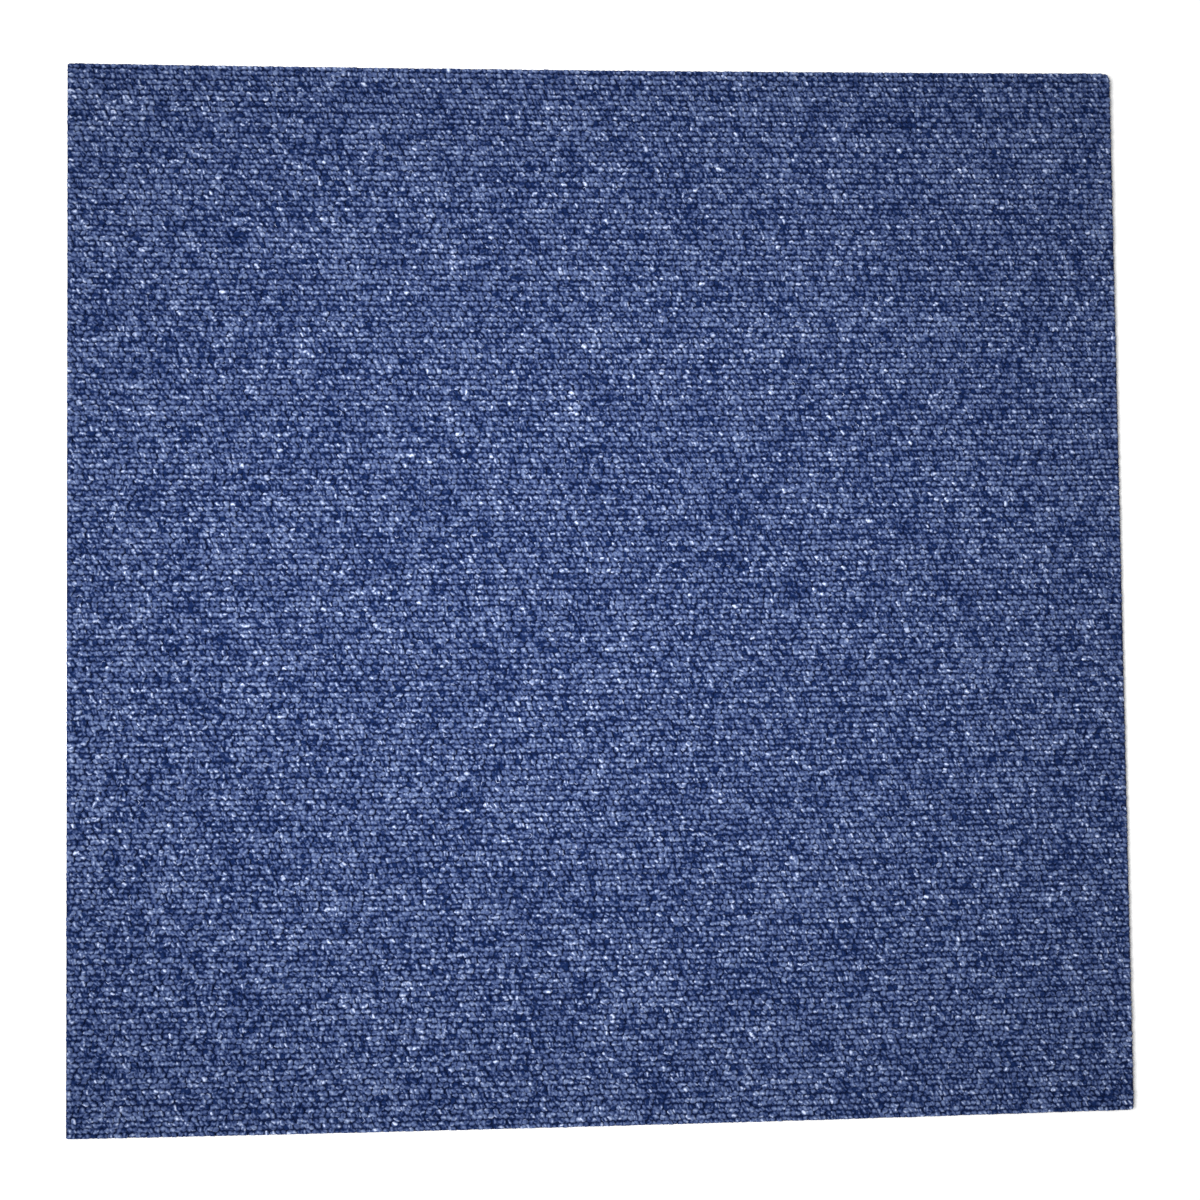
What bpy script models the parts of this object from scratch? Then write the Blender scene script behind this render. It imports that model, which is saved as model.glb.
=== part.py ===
"""A square tufted carpet tile, lying face up.

The real tile is made of two things that are stuck together over their whole area:
the tufted face, which is looped yarn standing in a woven cloth, and the heavy flexible
backing that the face is pressed into while it is hot. Each is one solid here. The rows
of loops are finer than a solid model needs, so the face is a slab of their outer form.

The origin is the middle of the underside. +X runs along the rows of loops, +Y across
them and +Z up, out of the pile.
"""

import bmesh
import bpy
from mathutils import Vector

# Driving dimensions, in metres

# The die cuts the tile out of the roll and leaves nearly square corners
TILE_LENGTH = 0.500
TILE_WIDTH = 0.500
CUT_CORNER_RADIUS = 0.0009
# Both right-hand corners are knocked blunt by handling, the far one more
NEAR_RIGHT_CORNER_RADIUS = 0.0026
FAR_RIGHT_CORNER_RADIUS = 0.0042

# The heavy backing
BACKING_THICKNESS = 0.0028

# The tufted face, from the underside of its cloth to the tops of the loops
FACE_THICKNESS = 0.0031
# The cut edge of the face stands back from the cut edge of the backing
FACE_SETBACK = 0.0005
# The outermost loops lean out and roll over
FACE_EDGE_ROUND = 0.0009

# The two layers meet face to face with this between them
LAYER_GAP = 0.0003

# How finely the arcs are drawn
CORNER_SEGMENTS = 8
EDGE_SEGMENTS = 4

# Each corner's direction from the middle of the tile, and its radius
CORNERS = (
    (-1, -1, CUT_CORNER_RADIUS),
    (1, -1, NEAR_RIGHT_CORNER_RADIUS),
    (1, 1, FAR_RIGHT_CORNER_RADIUS),
    (-1, 1, CUT_CORNER_RADIUS),
)


def clear_scene():
    for item in list(bpy.data.objects):
        bpy.data.objects.remove(item, do_unlink=True)


def make_material(name, colour, roughness):
    material = bpy.data.materials.new(name)
    material.use_nodes = True
    shader = material.node_tree.nodes["Principled BSDF"]
    shader.inputs["Base Color"].default_value = (*colour, 1.0)
    shader.inputs["Roughness"].default_value = roughness
    shader.inputs["Metallic"].default_value = 0.0
    return material


def bevel_edges(bm, edges, radius, segments):
    bmesh.ops.bevel(
        bm,
        geom=edges,
        offset=radius,
        segments=segments,
        profile=0.5,
        affect="EDGES",
        material=-1,
    )


def is_upright(edge):
    run = edge.verts[1].co - edge.verts[0].co
    return abs(run.z) > run.xy.length


def find_upright_edge(bm, corner):
    """The one edge of the slab that stands nearest the given corner in plan."""
    upright = [e for e in bm.edges if is_upright(e)]
    return min(upright, key=lambda e: (e.verts[0].co.xy - corner).length)


def find_upper_rim(bm):
    """The edges round the slab's upper face."""
    upper_face = max(bm.faces, key=lambda f: f.calc_center_median().z)
    return list(upper_face.edges)


def make_slab(inset, thickness, rim_round):
    """A slab of the tile's outline, drawn in by the inset, with its underside at height 0.

    The rim of its upper face is rounded by rim_round. The corners are that much blunter
    than the die left them, so that the rim can roll over all the way round.
    """
    length = TILE_LENGTH - 2 * inset
    width = TILE_WIDTH - 2 * inset
    bm = bmesh.new()
    bmesh.ops.create_cube(bm, size=1.0)
    bmesh.ops.scale(bm, vec=(length, width, thickness), verts=bm.verts)
    bmesh.ops.translate(bm, vec=(0.0, 0.0, thickness / 2), verts=bm.verts)
    for side_x, side_y, radius in CORNERS:
        corner = Vector((side_x * length / 2, side_y * width / 2))
        edge = find_upright_edge(bm, corner)
        bevel_edges(bm, [edge], radius + rim_round, CORNER_SEGMENTS)
    if rim_round:
        bevel_edges(bm, find_upper_rim(bm), rim_round, EDGE_SEGMENTS)
    return bm


def add_object(bm, name, height, material, collection):
    mesh = bpy.data.meshes.new(name)
    bm.to_mesh(mesh)
    bm.free()
    mesh.materials.append(material)
    mesh.shade_smooth()
    mesh.set_sharp_from_angle(angle=0.6)
    piece = bpy.data.objects.new(name, mesh)
    piece.location = (0.0, 0.0, height)
    collection.objects.link(piece)


def build_backing(collection):
    """The slab of filled bitumen that gives the tile its weight and lies on the floor."""
    bm = make_slab(inset=0.0, thickness=BACKING_THICKNESS, rim_round=0.0)
    material = make_material("filled_bitumen", (0.038, 0.034, 0.040), roughness=0.85)
    add_object(bm, "backing", 0.0, material, collection)


def build_face(collection):
    """The tufted face, as a slab of the outer form of its cloth and loops."""
    bm = make_slab(inset=FACE_SETBACK, thickness=FACE_THICKNESS, rim_round=FACE_EDGE_ROUND)
    material = make_material("blue_loop_pile", (0.062, 0.093, 0.212), roughness=0.95)
    add_object(bm, "loop_pile_face", BACKING_THICKNESS + LAYER_GAP, material, collection)


def build_tile():
    clear_scene()
    collection = bpy.data.collections.new("carpet_tile")
    bpy.context.scene.collection.children.link(collection)
    build_backing(collection)
    build_face(collection)


build_tile()
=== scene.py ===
"""A blue loop-pile carpet tile, seen from above as it lies on a pale floor.

The tile is put together from the floor up: the cut backing, the cloth that the yarn is
tufted into, the rows of loops, and the pale curls that have been pulled free of them.
Sizes are in metres. +X runs along the rows of loops, +Y across them and +Z out of the pile.
"""

import math

import bmesh
import bpy
import numpy as np
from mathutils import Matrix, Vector


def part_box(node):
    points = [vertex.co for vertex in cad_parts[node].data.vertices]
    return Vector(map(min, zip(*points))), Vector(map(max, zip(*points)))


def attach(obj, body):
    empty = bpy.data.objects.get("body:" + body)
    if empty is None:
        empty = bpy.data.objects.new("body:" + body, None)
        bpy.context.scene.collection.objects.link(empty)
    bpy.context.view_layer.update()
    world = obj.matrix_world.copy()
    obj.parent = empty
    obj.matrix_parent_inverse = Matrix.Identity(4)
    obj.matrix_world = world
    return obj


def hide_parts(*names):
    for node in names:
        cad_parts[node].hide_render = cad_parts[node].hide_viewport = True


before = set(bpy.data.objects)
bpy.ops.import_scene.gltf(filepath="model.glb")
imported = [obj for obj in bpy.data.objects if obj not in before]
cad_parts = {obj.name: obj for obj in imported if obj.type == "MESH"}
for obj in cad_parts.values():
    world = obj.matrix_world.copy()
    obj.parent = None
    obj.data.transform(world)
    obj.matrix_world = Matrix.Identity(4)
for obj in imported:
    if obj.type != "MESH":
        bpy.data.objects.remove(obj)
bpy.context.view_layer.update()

# Cut backing
# A slab of bitumen filled with limestone dust, with a polyester fleece rolled onto its
# underside and a glass tissue in its middle. The die that cuts the tile shears all three.

BACKING_LOW, BACKING_HIGH = (Vector(corner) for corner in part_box("backing"))
HALF_LENGTH = BACKING_HIGH.x
HALF_WIDTH = BACKING_HIGH.y
CUT_CORNER = 0.0009
NEAR_RIGHT_CORNER = 0.0026
FAR_RIGHT_CORNER = 0.0042
CORNERS = (
    (-1, -1, CUT_CORNER),
    (1, -1, NEAR_RIGHT_CORNER),
    (1, 1, FAR_RIGHT_CORNER),
    (-1, 1, CUT_CORNER),
)
CORNER_SEGMENTS = 6
# Across its rows the relaxed tile has crept this far towards the near side at mid-length
BOW = 0.0009
BOW_CUTS = 40
# Faces that meet at more than this keep a crisp edge between them
CRISP_ANGLE = math.radians(30)
# Two places closer than this are one place
SAME_PLACE = 1e-6
DUST_GRAIN = 0.0004
FLEECE_THICKNESS = 0.0004
FLEECE_TOP = BACKING_LOW.z + FLEECE_THICKNESS
FLEECE_INSET = 0.0001
# The fibres of the fleece bend three times in a centimetre, and fourteen lie in each bend
FIBRE_BEND = 0.01 / 3
FIBRES_PER_BEND = 14
GLASS_THICKNESS = 0.00022
GLASS_HEIGHT = 0.0016
# The blunt glass fibres stand this far out of the cut face
GLASS_PROUD = 0.00004
# Nine strands of the glass show on each centimetre of the cut
STRAND_SPACING = 0.01 / 9


def linear(hex_colour):
    """An sRGB hex colour as the linear colour that a shader takes."""
    codes = [int(hex_colour[i : i + 2], 16) / 255 for i in (1, 3, 5)]
    return tuple(c / 12.92 if c <= 0.04045 else ((c + 0.055) / 1.055) ** 2.4 for c in codes)


def new_material(name, roughness):
    material = bpy.data.materials.new(name)
    material.use_nodes = True
    shader = material.node_tree.nodes["Principled BSDF"]
    shader.inputs["Roughness"].default_value = roughness
    return material, material.node_tree, shader


def add_node(tree, kind, settings=None, inputs=None, stops=()):
    """Adds one node. An input is a value, a socket, or a node whose first output feeds it.

    The stops of a colour ramp are pairs of a position and an sRGB hex colour.
    """
    node = tree.nodes.new(kind)
    for name, value in (settings or {}).items():
        setattr(node, name, value)
    for name, value in (inputs or {}).items():
        if isinstance(value, bpy.types.Node):
            value = value.outputs[0]
        if isinstance(value, bpy.types.NodeSocket):
            tree.links.new(value, node.inputs[name])
        else:
            node.inputs[name].default_value = value
    for number, (position, hex_colour) in enumerate(stops):
        elements = node.color_ramp.elements
        stop = elements[number] if number < len(elements) else elements.new(position)
        stop.position = position
        stop.color = (*linear(hex_colour), 1)
    return node


def add_piece(name, mesh, material, node):
    """Puts a finished mesh in the scene as a piece that stands for a node of the frame."""
    piece = bpy.data.objects.new(name, mesh)
    piece.data.materials.append(material)
    bpy.context.scene.collection.objects.link(piece)
    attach(piece, "root")
    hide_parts(node)
    return piece


def bow_at(x):
    """How far the cloth at this place along the rows has crept sideways."""
    return -BOW * (1 - (x / HALF_LENGTH) ** 2)


def make_sheet(name, inset, bottom, top):
    """A flat layer with the tile's die-cut outline, drawn in by the inset and bowed."""
    bm = bmesh.new()
    half = Vector((HALF_LENGTH - inset, HALF_WIDTH - inset))
    bmesh.ops.create_cube(bm, size=2.0)
    bmesh.ops.scale(bm, vec=(half.x, half.y, (top - bottom) / 2), verts=bm.verts)
    bmesh.ops.translate(bm, vec=(0, 0, (top + bottom) / 2), verts=bm.verts)
    for side_x, side_y, radius in CORNERS:
        corner = Vector((side_x * half.x, side_y * half.y))
        runs = {e: (e.verts[1].co - e.verts[0].co).xy.length for e in bm.edges}
        upright = [e for e in bm.edges if runs[e] < SAME_PLACE]
        edge = min(upright, key=lambda e: (e.verts[0].co.xy - corner).length)
        bmesh.ops.bevel(
            bm,
            geom=[edge],
            offset=radius,
            segments=CORNER_SEGMENTS,
            profile=0.5,
            affect="EDGES",
            material=-1,
        )
    for x in np.linspace(-half.x, half.x, BOW_CUTS + 1)[1:-1]:
        everything = bm.verts[:] + bm.edges[:] + bm.faces[:]
        bmesh.ops.bisect_plane(bm, geom=everything, plane_co=(x, 0, 0), plane_no=(1, 0, 0))
    for vert in bm.verts:
        vert.co.y += bow_at(vert.co.x)
    mesh = bpy.data.meshes.new(name)
    bm.to_mesh(mesh)
    bm.free()
    mesh.shade_smooth()
    mesh.set_sharp_from_angle(angle=CRISP_ANGLE)
    return mesh


def make_bitumen():
    """Filled bitumen, sheared by the die: dull purple-black, grained with pale stone dust."""
    material, tree, shader = new_material("filled_bitumen", roughness=0.8)
    place = add_node(tree, "ShaderNodeTexCoord").outputs["Object"]
    dust = add_node(
        tree,
        "ShaderNodeTexNoise",
        inputs={"Vector": place, "Scale": 1 / DUST_GRAIN, "Detail": 3},
    )
    tone = add_node(
        tree,
        "ShaderNodeValToRGB",
        inputs={"Fac": dust},
        stops=((0.35, "#221f27"), (0.75, "#4c4650")),
    )
    bump = add_node(
        tree, "ShaderNodeBump", inputs={"Height": dust, "Strength": 0.6, "Distance": 0.0002}
    )
    tree.links.new(tone.outputs["Color"], shader.inputs["Base Color"])
    tree.links.new(bump.outputs["Normal"], shader.inputs["Normal"])
    return material


def make_fleece():
    """Spun polyester fleece, grey-black, its fibres laid every way and pressed flat."""
    material, tree, shader = new_material("spun_polyester_fleece", roughness=0.95)
    place = add_node(tree, "ShaderNodeTexCoord").outputs["Object"]
    bend = add_node(
        tree,
        "ShaderNodeTexNoise",
        inputs={"Vector": place, "Scale": 1 / FIBRE_BEND, "Detail": 2},
    )
    fibres = add_node(
        tree,
        "ShaderNodeTexVoronoi",
        {"feature": "DISTANCE_TO_EDGE"},
        {"Vector": bend.outputs["Color"], "Scale": FIBRES_PER_BEND},
    ).outputs["Distance"]
    tone = add_node(
        tree,
        "ShaderNodeValToRGB",
        inputs={"Fac": fibres},
        stops=((0.0, "#5c5c62"), (0.12, "#34343a")),
    )
    bump = add_node(
        tree,
        "ShaderNodeBump",
        {"invert": True},
        {"Height": fibres, "Strength": 0.5, "Distance": 0.0001},
    )
    tree.links.new(tone.outputs["Color"], shader.inputs["Base Color"])
    tree.links.new(bump.outputs["Normal"], shader.inputs["Normal"])
    shader.inputs["Specular IOR Level"].default_value = 0.1
    return material


def make_glass_tissue():
    """Glass tissue seen on its cut edge: off-white strands, dusted with bitumen."""
    material, tree, shader = new_material("cut_glass_tissue", roughness=0.7)
    place = add_node(tree, "ShaderNodeTexCoord").outputs["Object"]
    strands = add_node(
        tree,
        "ShaderNodeTexNoise",
        inputs={"Vector": place, "Scale": 1 / STRAND_SPACING, "Detail": 2},
    )
    tone = add_node(
        tree,
        "ShaderNodeValToRGB",
        inputs={"Fac": strands},
        stops=((0.4, "#3a363e"), (0.65, "#8f8d92")),
    )
    tree.links.new(tone.outputs["Color"], shader.inputs["Base Color"])
    return material


fleece_mesh = make_sheet("fleece", FLEECE_INSET, BACKING_LOW.z, FLEECE_TOP)
add_piece("fleece", fleece_mesh, make_fleece(), "backing")
backing_mesh = make_sheet("cut_backing", 0.0, FLEECE_TOP, BACKING_HIGH.z)
add_piece("cut_backing", backing_mesh, make_bitumen(), "backing")
glass_top = GLASS_HEIGHT + GLASS_THICKNESS
glass_mesh = make_sheet("glass_tissue", -GLASS_PROUD, GLASS_HEIGHT, glass_top)
add_piece("glass_tissue", glass_mesh, make_glass_tissue(), "backing")

# Primary cloth
# A thin cloth woven from flat tapes, which holds the tufts. It shows only between the rows
# and as a line along the cut edge.

FACE_LOW, FACE_HIGH = (Vector(corner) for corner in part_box("loop_pile_face"))
CLOTH_THICKNESS = 0.0004
CLOTH_TOP = FACE_LOW.z + CLOTH_THICKNESS
FACE_SETBACK = HALF_LENGTH - FACE_HIGH.x
TAPE_WIDTH = 0.0012


def make_tape_cloth():
    """Woven polypropylene tape, dyed navy: a plain weave of flat, faintly glossy tapes."""
    material, tree, shader = new_material("woven_tape_cloth", roughness=0.8)
    place = add_node(tree, "ShaderNodeTexCoord").outputs["Object"]
    weave = add_node(
        tree,
        "ShaderNodeTexChecker",
        inputs={
            "Vector": place,
            "Scale": 1 / TAPE_WIDTH,
            "Color1": (*linear("#0c1c4c"), 1),
            "Color2": (*linear("#102256"), 1),
        },
    )
    tree.links.new(weave.outputs["Color"], shader.inputs["Base Color"])
    shader.inputs["Specular IOR Level"].default_value = 0.1
    return material


cloth_mesh = make_sheet("primary_cloth", FACE_SETBACK, FACE_LOW.z, CLOTH_TOP)
add_piece("primary_cloth", cloth_mesh, make_tape_cloth(), "loop_pile_face")

# Felted feet
# Under their crowns the legs of neighbouring loops press together into one felted mass of
# yarn, which the die has cut off a little inside the edge of the cloth.

FEET_HEIGHT = 0.0012
FEET_INSET = 0.00045
# The fibres are matted in clumps, which are drawn out upwards along the legs
FIBRE_CLUMP = 0.0005
CLUMP_DRAW = 0.3


def make_felt():
    """Matted nylon in the depth between the loops, near-black navy: partly the navy ply, partly
    painted shade of the gaps between the rows.
    """
    material, tree, shader = new_material("matted_nylon_painted_shade", roughness=0.9)
    place = add_node(tree, "ShaderNodeTexCoord").outputs["Object"]
    drawn = add_node(
        tree,
        "ShaderNodeVectorMath",
        {"operation": "MULTIPLY"},
        {0: place, 1: (1, 1, CLUMP_DRAW)},
    )
    clumps = add_node(
        tree,
        "ShaderNodeTexNoise",
        inputs={"Vector": drawn, "Scale": 1 / FIBRE_CLUMP, "Detail": 4},
    )
    # Its near-black navy is partly the navy ply and partly painted shade in the gaps between the
    # rows
    tone = add_node(
        tree,
        "ShaderNodeValToRGB",
        inputs={"Fac": clumps},
        stops=((0.35, "#020b26"), (0.65, "#0a1b44")),
    )
    bump = add_node(
        tree, "ShaderNodeBump", inputs={"Height": clumps, "Strength": 0.8, "Distance": 0.0006}
    )
    tree.links.new(tone.outputs["Color"], shader.inputs["Base Color"])
    tree.links.new(bump.outputs["Normal"], shader.inputs["Normal"])
    shader.inputs["Specular IOR Level"].default_value = 0.1
    return material


feet_mesh = make_sheet("loop_feet", FEET_INSET, CLOTH_TOP, CLOTH_TOP + FEET_HEIGHT)
add_piece("loop_feet", feet_mesh, make_felt(), "loop_pile_face")

# Rows of loops
# Two plies of bulked nylon in heather blues are twisted into one yarn. A row of needles
# punches it through the cloth, and each stitch is left standing as a low arch.

ROW_COUNT = 201
# The crest of the outermost rows stands this far inside the cut edge
EDGE_ROW_INSET = 0.0013
STITCH = 0.00245
YARN_RADIUS = 0.00092
ARCH_RADIUS = 0.0014
# Below 1 the crown of the arch is flatter than a half circle, as steam and feet leave it
CROWN_POWER = 0.65
# The bulked yarn spreads sideways where nothing holds it, and least at its feet
YARN_SPREAD = 1.5
FOOT_WIDTH = 0.5
LOOP_SIDES = 4
LOOP_STEPS = 4
LOOP_TOP = FACE_HIGH.z
PILE_DEPTH = LOOP_TOP - CLOTH_TOP
LOOP_TURN = math.radians(-12)
TURN_SPREAD = math.radians(22)
ALONG_SPREAD = 0.00022
ACROSS_SPREAD = 0.0001
DRIFT_SPREAD = 0.00009
DRIFT_LENGTH = 12
# The middle of the last loop of a row stands about this far inside the cut edge
END_INSET = 0.00178
END_SPREAD = 0.0002
# A loop planted up to this many stitches past that place was cut, and is drawn back to it
CUT_REACH = 0.6
LIFT_SPREAD = 0.07
ROW_LIFT_SPREAD = LIFT_SPREAD / 4
LOWEST_LIFT, HIGHEST_LIFT = 0.7, 1.12
LEAN_SPREAD = 0.09
WIDTH_SPREAD = 0.1
# The pile is more ruffled towards the near left corner than the far right one, by this share
RUFFLE_TREND = 0.4
# Each row starts a little under half a stitch after the last
ROW_SHIFT = 0.45
SHIFT_SPREAD = 0.2
# The die shears the outermost loops this far inside the edge of the backing
SHEAR_INSET = 0.0005
STRIPS = 7
# Share of each cell of the atlas that is left free on each side, and that the upper faces get
CELL_MARGIN = 0.04
UPPER_SHARE = 0.8

PLIES = 2
# Negative, because the plies are twisted to the left
PLY_PITCH = -0.0055
TWIST_SPREAD = 0.8
# A higher power leaves fewer of the plies pale
PALE_POWER = 3.0
# How much paler the pale streaks make the yarn: partly the pale ply's own colour, partly painted
# glints
PALE_PLY_AND_GLINT_CONTRAST = 0.5
# Painted shade in the grooves between the plies, against their proud middles
GROOVE_SHADE_CONTRAST = 0.28
CLUMP_SIZE = 0.0012
CLUMP_CONTRAST = 0.5
CLOUD_SIZE = 0.012
CLOUD_CONTRAST = 0.3
SHADE_LEVEL = -0.292
SHADE_SPREAD = 0.11
STREAK_SPREAD = 0.02
STREAK_LENGTH = 6
# Where the clumps of pale fibre begin and where they are full, on a scale of 0 to 1
SPOT_LOW, SPOT_HIGH = 0.35, 0.65
# Shares of the pile's depth between which the painted shade near the cloth, a dark navy, gives
# way to the yarn's own colour
DEEP_SHADE_LOW, DEEP_SHADE_HIGH = 0.25, 0.75
# The flanks of a loop are painted darker than its crown by this level, as painted shade
PAINTED_FLANK_SHADE = -0.3
FLANK_LOW, FLANK_HIGH = 0.45, 0.92
YARN_STOPS = ((0.0, "#0b1d44"), (0.25, "#425076"), (0.5, "#627193"), (1.0, "#c5cfea"))

# Each loop's number picks the paleness of its plies
NUMBERS = 4000
NUMBER_STEP = 8.0
rng = np.random.default_rng(7)


def make_loop():
    """One arch of yarn, standing on the cloth at the origin. Its feet close to points."""
    bm = bmesh.new()
    around = bm.verts.layers.float.new("around")
    section = bmesh.ops.create_circle(bm, segments=LOOP_SIDES, radius=YARN_RADIUS)["verts"]
    for k, vert in enumerate(section):
        vert[around] = k / LOOP_SIDES
    bmesh.ops.scale(bm, vec=(1, YARN_SPREAD, 1), verts=section)
    bmesh.ops.translate(bm, vec=(-ARCH_RADIUS, 0, 0), verts=section)
    bmesh.ops.spin(
        bm,
        geom=bm.verts[:] + bm.edges[:],
        axis=(0, 1, 0),
        cent=(0, 0, 0),
        angle=math.pi,
        steps=LOOP_STEPS,
        use_merge=False,
    )
    for side in (-1, 1):
        foot = [v for v in bm.verts if abs(v.co.z) < SAME_PLACE and v.co.x * side > 0]
        bmesh.ops.pointmerge(bm, verts=foot, merge_co=(side * ARCH_RADIUS, 0, 0))
    bmesh.ops.recalc_face_normals(bm, faces=bm.faces)
    top = max(v.co.z for v in bm.verts)
    for vert in bm.verts:
        rise = vert.co.z / max(vert.co.xz.length, SAME_PLACE)
        vert.co.y *= FOOT_WIDTH + (1 - FOOT_WIDTH) * rise
        vert.co.z = top * max(vert.co.z / top, 0) ** CROWN_POWER
    return bm


def loop_arrays():
    """The arch as arrays: places, faces, and each corner's shares along and around the yarn."""
    bm = make_loop()
    around = bm.verts.layers.float["around"]
    bm.verts.index_update()
    places = np.array([v.co[:] for v in bm.verts])
    faces, corners = [], []
    for face in sorted(bm.faces, key=lambda f: len(f.verts)):
        turns = [v[around] for v in face.verts]
        if max(turns) - min(turns) > 0.5:
            turns = [t + 1 if t < 0.5 else t for t in turns]
        if len(turns) == 3:
            # A foot is a point, so it takes the middle of its face's turn
            tip = min(range(3), key=lambda n: face.verts[n].co.z)
            turns[tip] = 0
            rest = [t for n, t in enumerate(turns) if n != tip]
            if max(rest) - min(rest) > 0.5:
                rest = [t + 1 if t < 0.5 else t for t in rest]
            turns[tip] = sum(rest) / 2
        along = [math.atan2(v.co.z, -v.co.x) / math.pi for v in face.verts]
        faces.append([v.index for v in face.verts])
        corners.extend(zip(along, turns))
    bm.free()
    return places, faces, np.array(corners)


def smooth_noise(count, width):
    """Noise with a spread of 1 that changes over about this many steps."""
    kernel = np.hanning(2 * width + 1)[1:-1]
    raw = np.convolve(rng.normal(size=count + len(kernel)), kernel, "same")[:count]
    return raw / np.sqrt((kernel**2).sum())


places, faces, corners = loop_arrays()
face_sizes = np.array([len(f) for f in faces])
face_starts = np.concatenate([[0], np.cumsum(face_sizes)[:-1]])
face_verts = np.concatenate(faces)
# In its cell of the atlas a loop is unrolled, with most of the width for the upper faces
unrolled = np.interp(corners[:, 1], (0, 0.5, 1, 1.25), (0, UPPER_SHARE, 1, 1))
corner_cell = np.stack([corners[:, 0], unrolled], axis=1)
loop_height = PILE_DEPTH / (ARCH_RADIUS + YARN_RADIUS)
row_y = np.linspace(-1, 1, ROW_COUNT) * (HALF_WIDTH - EDGE_ROW_INSET)
row_phase = np.mod(np.cumsum(rng.normal(ROW_SHIFT, SHIFT_SPREAD, size=ROW_COUNT)), 1) - 0.5


def ruffle_at(x, y):
    """How ruffled the pile is here, against the middle of the tile."""
    return 1 - RUFFLE_TREND * (x / HALF_LENGTH + y / HALF_WIDTH) / 2


def plant_row(row):
    """Where each loop of this row stands, how pale its yarn is and how tall the loop is."""
    count = int(2 * HALF_LENGTH / STITCH) + 2
    x = (np.arange(count) - (count - 1) / 2 + row_phase[row]) * STITCH
    x += ruffle_at(x, row_y[row]) * rng.normal(scale=ALONG_SPREAD, size=count)
    drift = DRIFT_SPREAD * smooth_noise(count, DRIFT_LENGTH)
    stray = rng.normal(scale=ACROSS_SPREAD, size=count)
    y = row_y[row] + bow_at(x) + drift + ruffle_at(x, row_y[row]) * stray
    shade = SHADE_LEVEL + STREAK_SPREAD * smooth_noise(count, STREAK_LENGTH)
    shade += rng.normal(scale=SHADE_SPREAD, size=count)
    lift = 1 + rng.normal(scale=ROW_LIFT_SPREAD) + rng.normal(scale=LIFT_SPREAD, size=count)
    lift = np.clip(lift, LOWEST_LIFT, HIGHEST_LIFT)
    limit = HALF_LENGTH - END_INSET
    inside = np.abs(x) < limit + CUT_REACH * STITCH
    x = np.clip(x, -limit, limit) + rng.normal(scale=END_SPREAD, size=count)
    return x[inside], y[inside], shade[inside], lift[inside]


def shear(x, y):
    """Draws the places that lie outside the die's outline in to it, corners too."""
    half_x = HALF_LENGTH - SHEAR_INSET
    half_y = HALF_WIDTH - SHEAR_INSET
    x = np.clip(x, -half_x, half_x)
    bow = bow_at(x)
    y = np.clip(y - bow, -half_y, half_y)
    for side_x, side_y, radius in CORNERS:
        out_x = side_x * x - (half_x - radius)
        out_y = side_y * y - (half_y - radius)
        reach = np.hypot(out_x, out_y)
        cut = (out_x > 0) & (out_y > 0) & (reach > radius)
        draw = np.where(cut, radius / np.maximum(reach, radius), 1)
        x = np.where(cut, side_x * (half_x - radius + out_x * draw), x)
        y = np.where(cut, side_y * (half_y - radius + out_y * draw), y)
    return x, y + bow


def make_strip(name, rows):
    """The loops of these rows as one mesh: the arch, repeated at every stitch."""
    planted = [plant_row(row) for row in rows]
    x, y, shade, lift = (np.concatenate(part)[:, None] for part in zip(*planted))
    count = len(x)
    ruffle = ruffle_at(x, y)
    turn = LOOP_TURN + ruffle * rng.normal(scale=TURN_SPREAD, size=(count, 1))
    lean = ruffle * rng.normal(scale=LEAN_SPREAD, size=(count, 1))
    width = rng.normal(1, WIDTH_SPREAD, size=(count, 1))
    along = places[None, :, 0]
    across = places[None, :, 1] * width
    up = places[None, :, 2] * loop_height * lift
    vert_x = x + np.cos(turn) * along - np.sin(turn) * across
    vert_y = y + np.sin(turn) * along + np.cos(turn) * across + lean * up
    vert_x, vert_y = shear(vert_x, vert_y)
    vert_z = CLOTH_TOP + up

    mesh = bpy.data.meshes.new(name)
    first_vert = np.arange(count)[:, None] * len(places)
    first_corner = np.arange(count)[:, None] * len(face_verts)
    mesh.vertices.add(count * len(places))
    mesh.vertices.foreach_set("co", np.stack([vert_x, vert_y, vert_z], axis=2).ravel())
    mesh.loops.add(count * len(face_verts))
    mesh.loops.foreach_set("vertex_index", (face_verts + first_vert).ravel())
    mesh.polygons.add(count * len(faces))
    mesh.polygons.foreach_set("loop_start", (face_starts + first_corner).ravel())
    mesh.update(calc_edges=True)

    # Each length of yarn is twisted by its own amount and starts at its own turn
    yarn_uv = np.tile(corners, (count, 1, 1))
    yarn_uv[:, :, 0] *= math.pi * ARCH_RADIUS * rng.normal(1, TWIST_SPREAD, size=(count, 1))
    yarn_uv[:, :, 1] += rng.uniform(size=(count, 1))
    mesh.uv_layers.new(name="yarn").data.foreach_set("uv", yarn_uv.ravel())
    side = math.ceil(math.sqrt(count))
    cell = np.stack([np.arange(count) % side, np.arange(count) // side], axis=1)
    atlas = (cell[:, None, :] + CELL_MARGIN + (1 - 2 * CELL_MARGIN) * corner_cell) / side
    mesh.uv_layers.new(name="OFBake").data.foreach_set("uv", atlas.ravel())
    number = rng.integers(0, NUMBERS, size=count) * NUMBER_STEP
    for layer, values in (("shade", shade), ("loop", number)):
        attribute = mesh.attributes.new(layer, "FLOAT", "POINT")
        attribute.data.foreach_set("value", np.repeat(values, len(places)))
    mesh.validate()
    mesh.shade_smooth()
    return mesh


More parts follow.
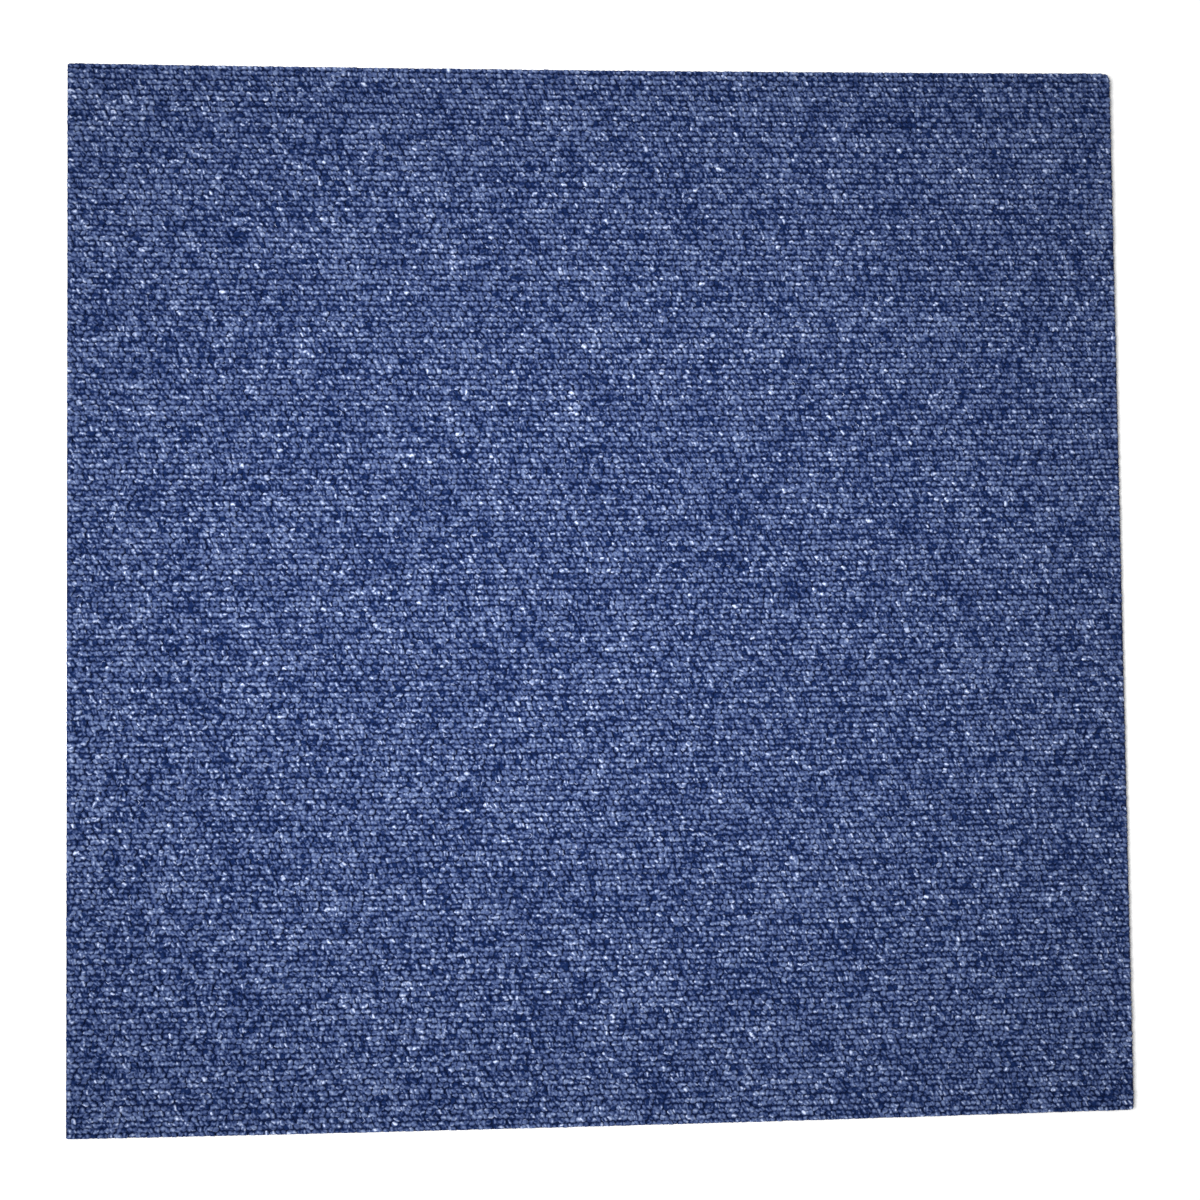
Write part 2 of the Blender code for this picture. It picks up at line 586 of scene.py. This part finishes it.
def make_yarn():
    """Bulked nylon in heather blues, slate on the crowns, with painted shade down the flanks and
    navy in the depth, and pale streaks that are partly the pale ply and partly painted glints.
    """
    material, tree, shader = new_material("heather_nylon_yarn", roughness=0.75)
    uv = add_node(tree, "ShaderNodeUVMap", {"uv_map": "yarn"})
    split = add_node(tree, "ShaderNodeSeparateXYZ", inputs={"Vector": uv})
    place = add_node(tree, "ShaderNodeTexCoord").outputs["Object"]
    height = add_node(tree, "ShaderNodeSeparateXYZ", inputs={"Vector": place}).outputs["Z"]
    shade = add_node(tree, "ShaderNodeAttribute", {"attribute_name": "shade"}).outputs["Fac"]
    number = add_node(tree, "ShaderNodeAttribute", {"attribute_name": "loop"}).outputs["Fac"]

    # The plies wind round the yarn, and each ply of each loop has its own paleness
    twist = add_node(
        tree,
        "ShaderNodeMath",
        {"operation": "MULTIPLY_ADD"},
        {0: split.outputs["X"], 1: 1 / PLY_PITCH, 2: split.outputs["Y"]},
    )
    turn = add_node(tree, "ShaderNodeMath", {"operation": "FRACT"}, {0: twist})
    winding = add_node(tree, "ShaderNodeMath", {"operation": "MULTIPLY"}, {0: turn, 1: PLIES})
    ply = add_node(tree, "ShaderNodeMath", {"operation": "FLOOR"}, {0: winding})
    ply = add_node(tree, "ShaderNodeMath", {"operation": "ADD"}, {0: ply, 1: number})
    chance = add_node(tree, "ShaderNodeTexWhiteNoise", {"noise_dimensions": "1D"}, {"W": ply})
    pale = add_node(tree, "ShaderNodeMath", {"operation": "POWER"}, {0: chance, 1: PALE_POWER})

    # A ply stands proud along its middle, which is 1 here, and 0 in the groove beside it
    ridge = add_node(tree, "ShaderNodeMath", {"operation": "MULTIPLY"}, {0: twist, 1: PLIES})
    ridge = add_node(tree, "ShaderNodeMath", {"operation": "PINGPONG"}, {0: ridge, 1: 0.5})
    ridge = add_node(tree, "ShaderNodeMath", {"operation": "MULTIPLY"}, {0: ridge, 1: 2.0})

    # Clumps of pale fibre make the streaks of a pale ply patchy
    clump = add_node(
        tree,
        "ShaderNodeTexNoise",
        inputs={"Vector": place, "Scale": 1 / CLUMP_SIZE, "Detail": 0},
    )
    cloud = add_node(
        tree,
        "ShaderNodeTexNoise",
        inputs={"Vector": place, "Scale": 1 / CLOUD_SIZE, "Detail": 2},
    )
    spots = add_node(
        tree,
        "ShaderNodeMapRange",
        {"interpolation_type": "SMOOTHSTEP"},
        {"Value": clump, "From Min": SPOT_LOW, "From Max": SPOT_HIGH},
    )
    # Pale streaks on the middles of the plies: partly the pale ply, partly painted glints
    streak = add_node(tree, "ShaderNodeMath", {"operation": "MULTIPLY"}, {0: pale, 1: ridge})
    streak = add_node(tree, "ShaderNodeMath", {"operation": "MULTIPLY"}, {0: streak, 1: spots})
    # Each part makes the yarn paler by its contrast; the ridge's part is painted shade in the
    # grooves between the plies
    level = shade
    for part, contrast in (
        (streak, PALE_PLY_AND_GLINT_CONTRAST),
        (cloud, CLOUD_CONTRAST),
        (clump, CLUMP_CONTRAST),
        (ridge, GROOVE_SHADE_CONTRAST),
    ):
        level = add_node(
            tree,
            "ShaderNodeMath",
            {"operation": "MULTIPLY_ADD"},
            {0: part, 1: contrast, 2: level},
        )

    # Painted shade: below the crowns the yarn is painted darker, and navy near the cloth
    rise = add_node(tree, "ShaderNodeMath", {"operation": "SUBTRACT"}, {0: height, 1: CLOTH_TOP})
    depth = add_node(tree, "ShaderNodeMath", {"operation": "DIVIDE"}, {0: rise, 1: PILE_DEPTH})
    flank = add_node(
        tree,
        "ShaderNodeMapRange",
        {"interpolation_type": "SMOOTHSTEP"},
        {
            "Value": depth,
            "From Min": FLANK_LOW,
            "From Max": FLANK_HIGH,
            "To Min": PAINTED_FLANK_SHADE,
            "To Max": 0.0,
        },
    )
    level = add_node(tree, "ShaderNodeMath", {"operation": "ADD"}, {0: level, 1: flank})
    colour = add_node(tree, "ShaderNodeValToRGB", inputs={"Fac": level}, stops=YARN_STOPS)
    # Painted shade near the cloth: the colour is mixed towards a dark navy
    deep_shade = add_node(
        tree,
        "ShaderNodeMapRange",
        {"interpolation_type": "SMOOTHSTEP"},
        {
            "Value": depth,
            "From Min": DEEP_SHADE_LOW,
            "From Max": DEEP_SHADE_HIGH,
            "To Min": 1.0,
            "To Max": 0.0,
        },
    )
    # The colour sockets of this node are its seventh and eighth inputs and its third output
    mixed = add_node(
        tree,
        "ShaderNodeMix",
        {"data_type": "RGBA"},
        {0: deep_shade, 6: colour, 7: (*linear("#051741"), 1)},
    )
    bump = add_node(
        tree, "ShaderNodeBump", inputs={"Height": ridge, "Strength": 0.25, "Distance": 0.0003}
    )
    tree.links.new(mixed.outputs[2], shader.inputs["Base Color"])
    tree.links.new(bump.outputs["Normal"], shader.inputs["Normal"])
    shader.inputs["Specular IOR Level"].default_value = 0.06
    shader.inputs["Sheen Weight"].default_value = 0.2
    shader.inputs["Sheen Roughness"].default_value = 0.6
    shader.inputs["Sheen Tint"].default_value = (*linear("#4059a6"), 1)
    return material


yarn = make_yarn()
for number, rows in enumerate(np.array_split(np.arange(ROW_COUNT), STRIPS), 1):
    name = f"loop_rows_{number}"
    add_piece(name, make_strip(name, rows), yarn, "loop_pile_face")

# Loose curls
# Here and there a pale ply has been pulled free of its loop, and lies on the crowns as a
# short curl.

CURL_COUNT = 230
# They lie within this share of the way from the middle to the edges
CURL_REACH = 0.98
CURL_THICKNESS = 0.0003
CURL_RADIUS = 0.001
CURL_RADIUS_SPREAD = 0.0002
# A curl is an arc of a quarter of a circle to a little over half of one, in radians
CURL_SWEEP = (1.6, 3.6)
# Its middle lies on the crowns, and its thinner ends are tucked under by this share of its lift
CURL_LIFT = 0.0004
CURL_TUCK = 0.4
CURL_TAPER = 0.6
PALE_PATCH = 0.006


def make_curls():
    """The curls as one mesh, swept from curves of three points each."""
    curve = bpy.data.curves.new("loose_curls", "CURVE")
    curve.dimensions = "3D"
    curve.bevel_depth = CURL_THICKNESS / 2
    curve.bevel_resolution = 0
    curve.resolution_u = 3
    curve.use_fill_caps = True
    for _ in range(CURL_COUNT):
        x, y = rng.uniform(-CURL_REACH, CURL_REACH, size=2) * (HALF_LENGTH, HALF_WIDTH)
        radius = rng.normal(CURL_RADIUS, CURL_RADIUS_SPREAD)
        start = rng.uniform(0, math.tau)
        sweep = rng.uniform(*CURL_SWEEP)
        spline = curve.splines.new("BEZIER")
        spline.bezier_points.add(2)
        for k, point in enumerate(spline.bezier_points):
            angle = start + sweep * k / 2
            lift = CURL_LIFT * (1 if k == 1 else -CURL_TUCK)
            point.co = (x + radius * math.cos(angle), y + radius * math.sin(angle), 0)
            point.co.z = LOOP_TOP - CURL_LIFT + lift
            point.handle_left_type = "AUTO"
            point.handle_right_type = "AUTO"
            point.radius = 1 if k == 1 else CURL_TAPER
    item = bpy.data.objects.new("loose_curls_curve", curve)
    bpy.context.scene.collection.objects.link(item)
    bpy.context.view_layer.update()
    evaluated = item.evaluated_get(bpy.context.evaluated_depsgraph_get())
    mesh = bpy.data.meshes.new_from_object(evaluated)
    bpy.data.objects.remove(item)
    mesh.name = "loose_curls"
    mesh.shade_smooth()
    return mesh


def make_pale_ply():
    """Pale-blue nylon ply, fluffed by wear."""
    material, tree, shader = new_material("pale_nylon_ply", roughness=0.8)
    place = add_node(tree, "ShaderNodeTexCoord").outputs["Object"]
    patches = add_node(
        tree,
        "ShaderNodeTexNoise",
        inputs={"Vector": place, "Scale": 1 / PALE_PATCH, "Detail": 1},
    )
    tone = add_node(
        tree,
        "ShaderNodeValToRGB",
        inputs={"Fac": patches},
        stops=((0.35, "#67769c"), (0.65, "#aebada")),
    )
    tree.links.new(tone.outputs["Color"], shader.inputs["Base Color"])
    shader.inputs["Specular IOR Level"].default_value = 0.1
    return material


add_piece("loose_curls", make_curls(), make_pale_ply(), "loop_pile_face")

# Floor, light and camera
# A pale studio floor, a broad soft lamp beyond the tile's left edge, and white all round.

FLOOR_SIZE = 12.0
# The floor is a hair below the fleece, so that no two faces lie in one plane
FLOOR_DROP = 0.0001
PAPER_TONE = 0.95
LAMP_PLACE = Vector((-0.33, 0.0, 0.87))
LAMP_TARGET = Vector((0.01, 0.0, 0.0))
LAMP_SIZE = 0.4
LAMP_SPREAD = math.radians(78)
LAMP_POWER = 3.6
ROOM_LIGHT = 0.385
CAMERA_PLACE = (-0.0443, -0.0329, 0.7494)
CAMERA_TILT = (math.radians(2.19), math.radians(-3.23), math.radians(-0.645))
CAMERA_LENS = 47.4
CAMERA_FILM = 36.0


def make_floor():
    bm = bmesh.new()
    bmesh.ops.create_grid(bm, x_segments=1, y_segments=1, size=FLOOR_SIZE / 2)
    bmesh.ops.translate(bm, vec=(0, 0, BACKING_LOW.z - FLOOR_DROP), verts=bm.verts)
    mesh = bpy.data.meshes.new("floor")
    bm.to_mesh(mesh)
    bm.free()
    floor = bpy.data.objects.new("floor", mesh)
    material, _, shader = new_material("studio_paper", roughness=0.9)
    shader.inputs["Base Color"].default_value = (PAPER_TONE, PAPER_TONE, PAPER_TONE, 1)
    mesh.materials.append(material)
    bpy.context.scene.collection.objects.link(floor)


make_floor()

lamp_data = bpy.data.lights.new("window", "AREA")
lamp_data.shape = "SQUARE"
lamp_data.size = LAMP_SIZE
lamp_data.spread = LAMP_SPREAD
lamp_data.energy = LAMP_POWER
lamp = bpy.data.objects.new("window", lamp_data)
lamp.location = LAMP_PLACE
lamp.rotation_euler = (LAMP_TARGET - LAMP_PLACE).to_track_quat("-Z", "Y").to_euler()
bpy.context.scene.collection.objects.link(lamp)

world = bpy.data.worlds.new("studio")
world.use_nodes = True
world.node_tree.nodes["Background"].inputs["Color"].default_value = (1, 1, 1, 1)
world.node_tree.nodes["Background"].inputs["Strength"].default_value = ROOM_LIGHT
bpy.context.scene.world = world
bpy.context.scene.view_settings.view_transform = "Standard"

camera_data = bpy.data.cameras.new("camera")
camera_data.lens = CAMERA_LENS
camera_data.sensor_width = CAMERA_FILM
camera = bpy.data.objects.new("camera", camera_data)
camera.location = CAMERA_PLACE
camera.rotation_euler = CAMERA_TILT
bpy.context.scene.collection.objects.link(camera)
bpy.context.scene.camera = camera
